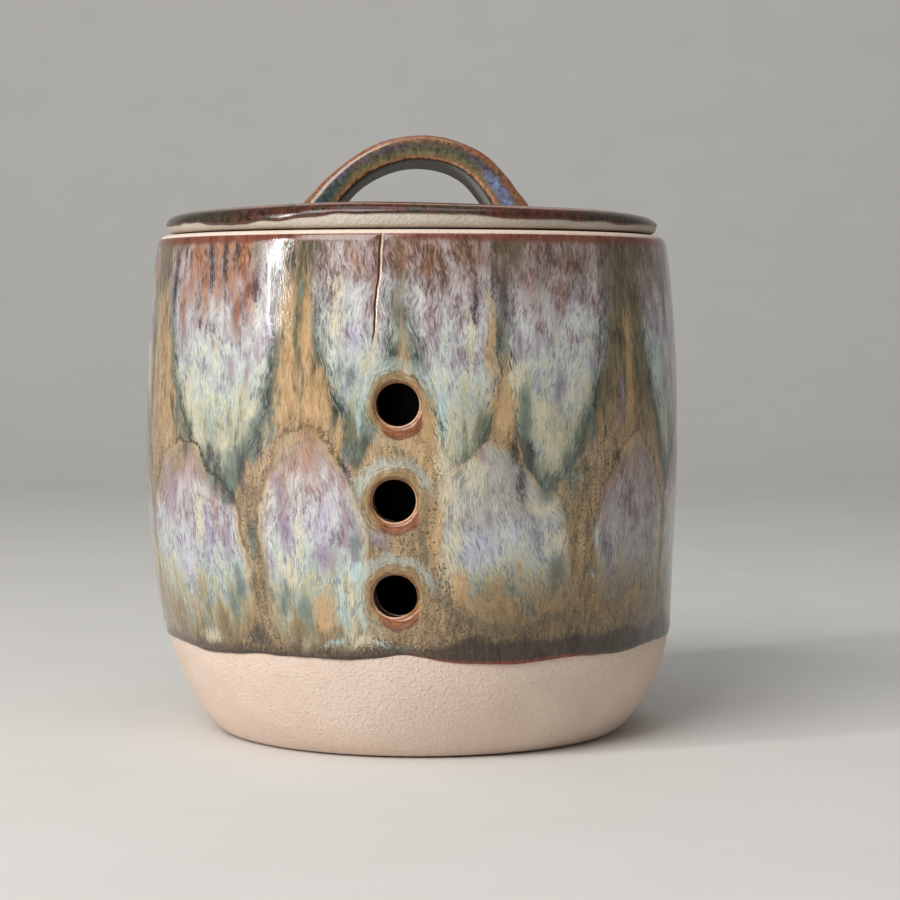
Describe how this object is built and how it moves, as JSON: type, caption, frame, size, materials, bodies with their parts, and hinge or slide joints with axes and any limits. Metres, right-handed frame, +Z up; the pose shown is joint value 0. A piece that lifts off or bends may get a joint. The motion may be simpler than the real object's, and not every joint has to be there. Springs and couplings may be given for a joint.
{
  "type": "garlic keeper",
  "caption": "Round lidded stoneware jar with vent holes in the wall, for keeping garlic, with a strap handle on its flat lift-off lid.",
  "frame": {"origin": "centre of the foot, on the surface the jar stands on", "axes": "+Z up, out of the lid's handle; -Y to the front, where the vent holes are; X along the span of the handle"},
  "size_m": [0.1248, 0.1248, 0.1379],
  "materials": {
    "bare_clay": "fired buff stoneware clay, matt, with fine grog",
    "outer_glaze": "glossy running glaze, overlapping lobes of pale blue, lilac and cream over ochre and dark olive",
    "liner_glaze": "glossy dark brown liner glaze",
    "dark_glaze": "glossy dark olive-brown glaze that breaks to orange on the edges"
  },
  "bodies": {
    "jar": {"jar": "bare_clay", "jar_glaze": "outer_glaze", "liner_glaze": "liner_glaze"},
    "lid": {"lid": "bare_clay", "lid_flange": "bare_clay", "lid_glaze": "dark_glaze", "handle": "dark_glaze"}
  },
  "joints": [
    {"name": "lid_lift", "type": "slide", "parent": "jar", "child": "lid", "axis": [0, 0, 1], "range_m": [0, 0.1]}
  ]
}
